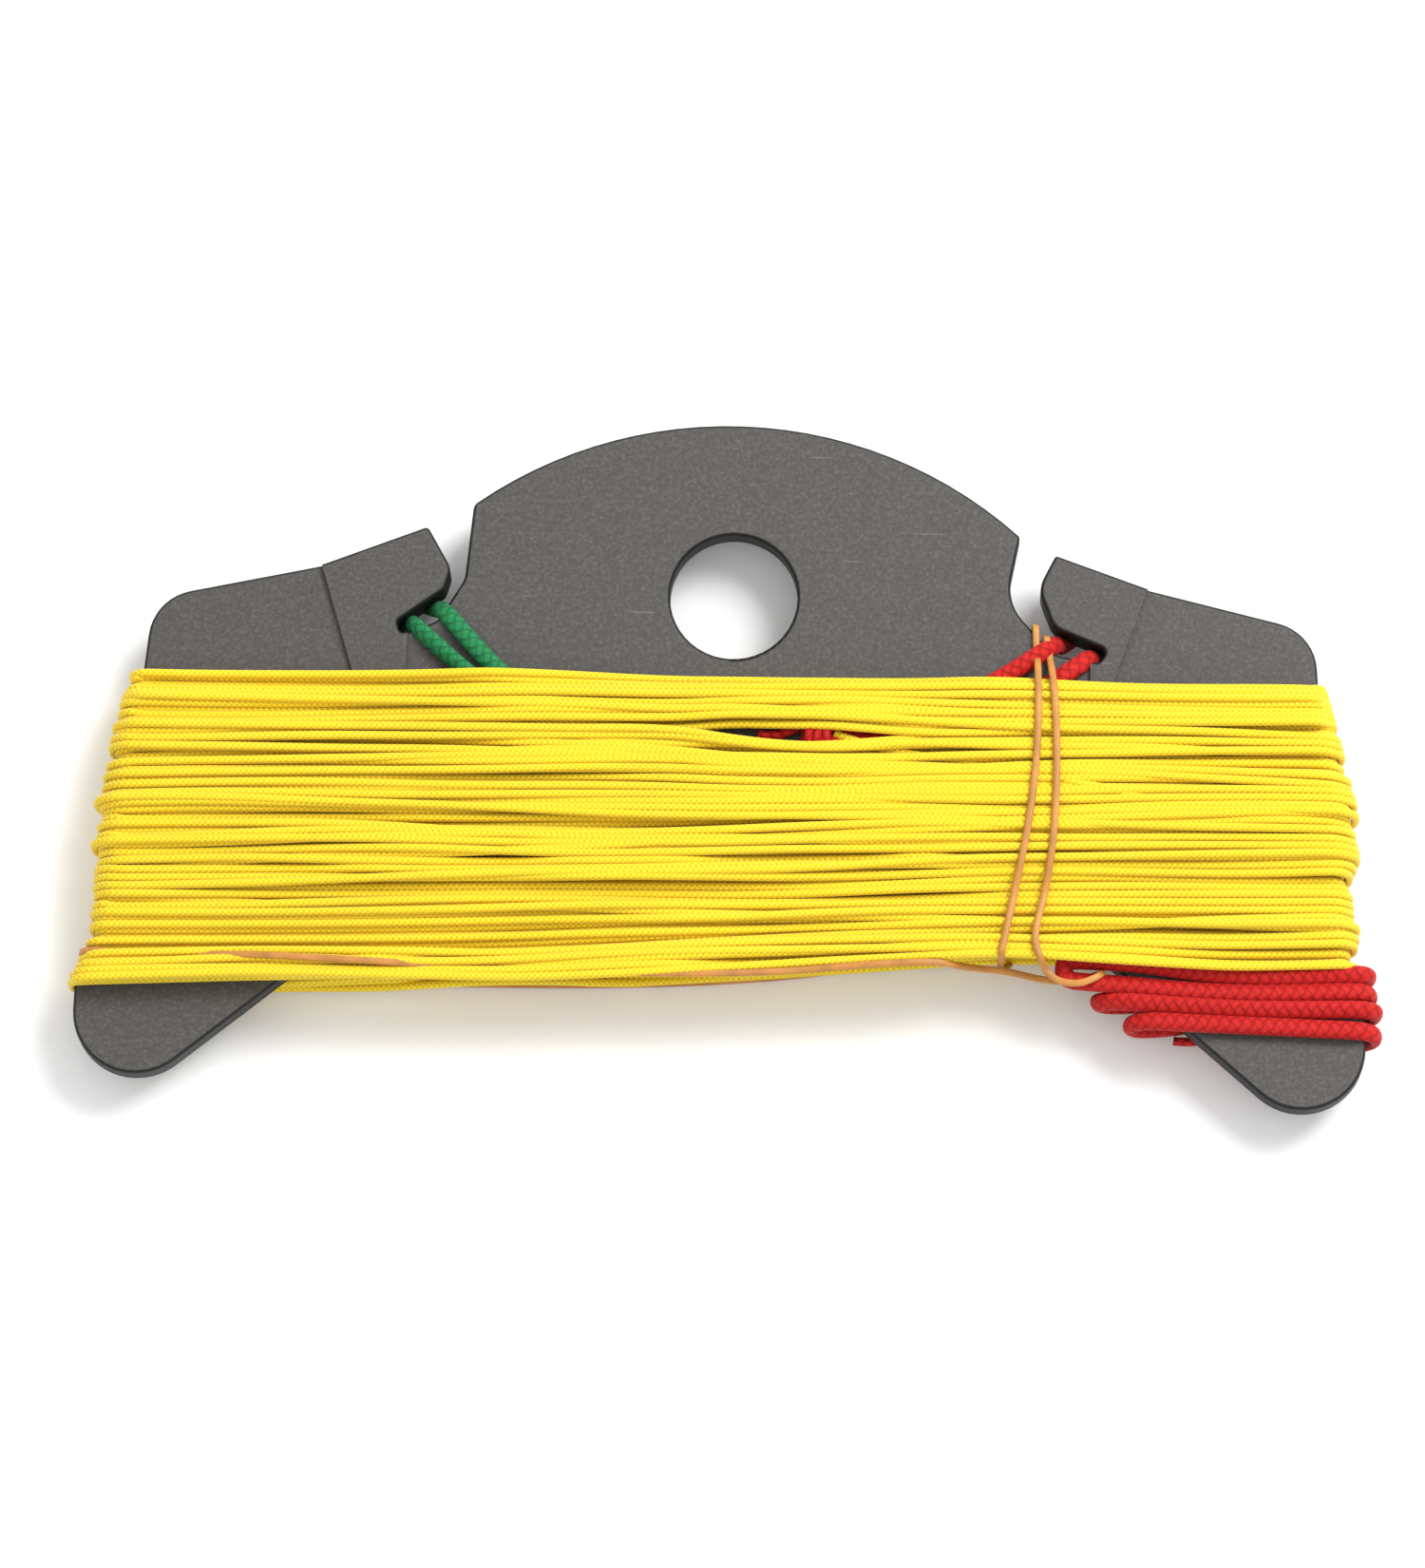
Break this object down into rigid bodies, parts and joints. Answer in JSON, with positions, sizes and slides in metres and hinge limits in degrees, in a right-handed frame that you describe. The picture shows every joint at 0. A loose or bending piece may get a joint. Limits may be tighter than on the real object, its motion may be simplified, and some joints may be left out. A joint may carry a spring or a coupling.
{
  "type": "fishing hand line winder",
  "caption": "Flat moulded card with a domed top, hooked notches and two legs, wound with yellow braided line with red and green sleeved loops and a rubber band.",
  "frame": {"origin": "centre of the finger hole, halfway through the plate", "axes": "+X along the plate to the right, +Y towards the domed edge, +Z out of the front face"},
  "size_m": [0.204, 0.1071, 0.0131],
  "materials": {
    "plate": "fine grained matte moulding, dark grey",
    "line": "braided, slightly glossy yellow line",
    "red_sleeve": "braided red sleeve",
    "green_sleeve": "braided green sleeve",
    "band": "tan natural rubber"
  },
  "bodies": {
    "root": {"winder_plate": "plate", "green_line_winding": "line", "red_line_winding": "line", "green_start_loop": "green_sleeve", "red_start_loop": "red_sleeve", "green_end_loop": "green_sleeve", "red_end_loop": "red_sleeve", "green_start_knot": "green_sleeve", "red_start_knot": "red_sleeve", "green_end_knot": "green_sleeve", "red_end_knot": "red_sleeve", "rubber_band": "band"}
  },
  "joints": []
}
